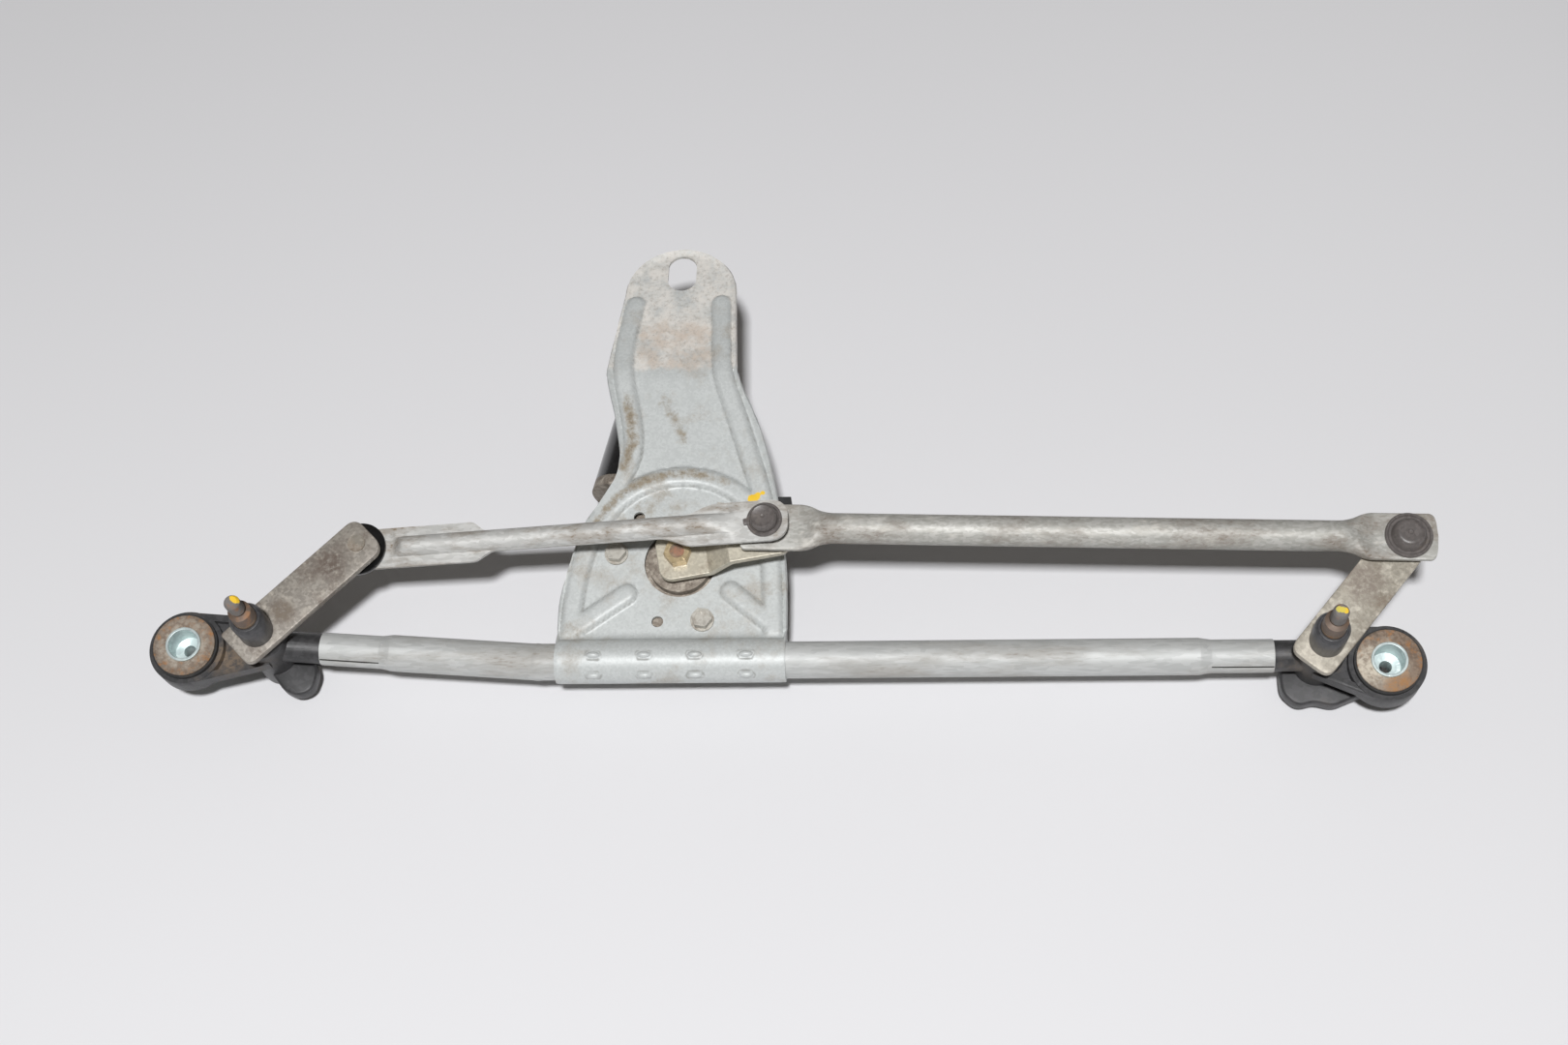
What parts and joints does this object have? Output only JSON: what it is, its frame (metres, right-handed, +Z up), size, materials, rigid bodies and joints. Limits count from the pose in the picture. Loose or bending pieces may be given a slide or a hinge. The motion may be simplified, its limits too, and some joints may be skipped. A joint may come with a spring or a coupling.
{
  "type": "windscreen wiper linkage",
  "caption": "Windscreen wiper linkage: tube frame with a pressed plate and geared motor, whose crank swings two wiper shafts through rods with ball joints.",
  "frame": {"origin": "seat of the screw in the left mounting bush", "axes": "+X along the frame tube towards the right bush, +Z up as the linkage lies on a flat floor, +Y to the back, where the plate head is"},
  "size_m": [0.6919, 0.2819, 0.1061],
  "materials": {
    "tube_zinc": "satin galvanised",
    "plate_zinc": "galvanised with grime",
    "black_casting": "black coated casting",
    "bearing_bronze": "sintered",
    "bush_rubber": "matt",
    "sleeve_zinc": "bright zinc",
    "rusty_washer": "rusty steel",
    "gear_casting": "as cast",
    "cover_plastic": "matt",
    "screw_steel": "zinc",
    "can_black": "gloss black",
    "plug_plastic": "matt",
    "bolt_steel": "passivated zinc",
    "shaft_steel": "lightly rusted",
    "wheel_plastic": "moulded",
    "crank_zinc": "yellow passivated zinc",
    "nut_gold": "yellow passivated zinc",
    "stud_steel": "polished",
    "socket_gloss": "gloss",
    "socket_plastic": "satin",
    "link_zinc": "galvanised with grime",
    "lever_steel": "tarnished",
    "rivet_steel": "tarnished",
    "sleeve_dark": "satin",
    "spring_steel": "dark"
  },
  "bodies": {
    "frame_body": {"frame_tube": "tube_zinc", "motor_plate": "plate_zinc", "left_pivot_housing": "black_casting", "right_pivot_housing": "black_casting", "left_bearing_bush": "bearing_bronze", "right_bearing_bush": "bearing_bronze", "left_bush_rubber": "bush_rubber", "right_bush_rubber": "bush_rubber", "left_bush_sleeve": "sleeve_zinc", "right_bush_sleeve": "sleeve_zinc", "left_bush_washer": "rusty_washer", "right_bush_washer": "rusty_washer", "gear_housing": "gear_casting", "gear_cover": "cover_plastic", "cover_screws": "screw_steel", "motor_can": "can_black", "can_screws": "screw_steel", "connector": "plug_plastic", "motor_bolts": "bolt_steel", "output_bearing": "bearing_bronze"},
    "crank_body": {"output_shaft": "shaft_steel", "worm_wheel": "wheel_plastic", "crank_arm": "crank_zinc", "crank_nut": "nut_gold", "double_ball_stud": "stud_steel"},
    "left_link_body": {"left_link": "link_zinc", "left_link_outer_socket": "socket_gloss", "left_link_crank_socket": "socket_plastic", "left_ball_stud": "stud_steel"},
    "right_link_body": {"right_link": "link_zinc", "right_link_outer_socket": "socket_plastic", "right_link_crank_socket": "socket_plastic", "right_ball_stud": "stud_steel"},
    "left_lever_body": {"left_lever": "lever_steel", "left_wiper_shaft": "shaft_steel", "left_shaft_sleeve": "sleeve_dark", "left_circlip": "spring_steel", "left_lever_rivet": "rivet_steel"},
    "right_lever_body": {"right_lever": "lever_steel", "right_wiper_shaft": "shaft_steel", "right_shaft_sleeve": "sleeve_dark", "right_circlip": "spring_steel", "right_lever_rivet": "rivet_steel"}
  },
  "joints": [
    {"name": "crank_turn", "type": "hinge", "parent": "frame_body", "child": "crank_body", "pos_m": [0.2691, 0.04696, 0.01257], "axis": [0, -0.2783, 0.9605], "range_deg": [0, 168]},
    {"name": "left_link_swing", "type": "hinge", "parent": "crank_body", "child": "left_link_body", "pos_m": [0.31837, 0.04651, 0.04471], "axis": [0, -0.2783, 0.9605], "range_deg": [-170.21, 0]},
    {"name": "right_link_swing", "type": "hinge", "parent": "crank_body", "child": "right_link_body", "pos_m": [0.31837, 0.04651, 0.04471], "axis": [0, -0.2783, 0.9605], "range_deg": [-168.39, 0]},
    {"name": "left_shaft_turn", "type": "hinge", "parent": "frame_body", "child": "left_lever_body", "pos_m": [0.0434, 0.00354, -0.00001], "axis": [0, -0.2783, 0.9605], "range_deg": [0, 88.68]},
    {"name": "right_shaft_turn", "type": "hinge", "parent": "frame_body", "child": "right_lever_body", "pos_m": [0.6118, -0.00702, -0.00307], "axis": [0, -0.2783, 0.9605], "range_deg": [0, 89.21]}
  ],
  "couplings": [
    {"joint": "left_link_swing", "follows": "crank_turn", "ratio": -1.0131},
    {"joint": "right_link_swing", "follows": "crank_turn", "ratio": -1.0023},
    {"joint": "left_shaft_turn", "follows": "crank_turn", "ratio": 0.52782},
    {"joint": "right_shaft_turn", "follows": "crank_turn", "ratio": 0.53093}
  ]
}
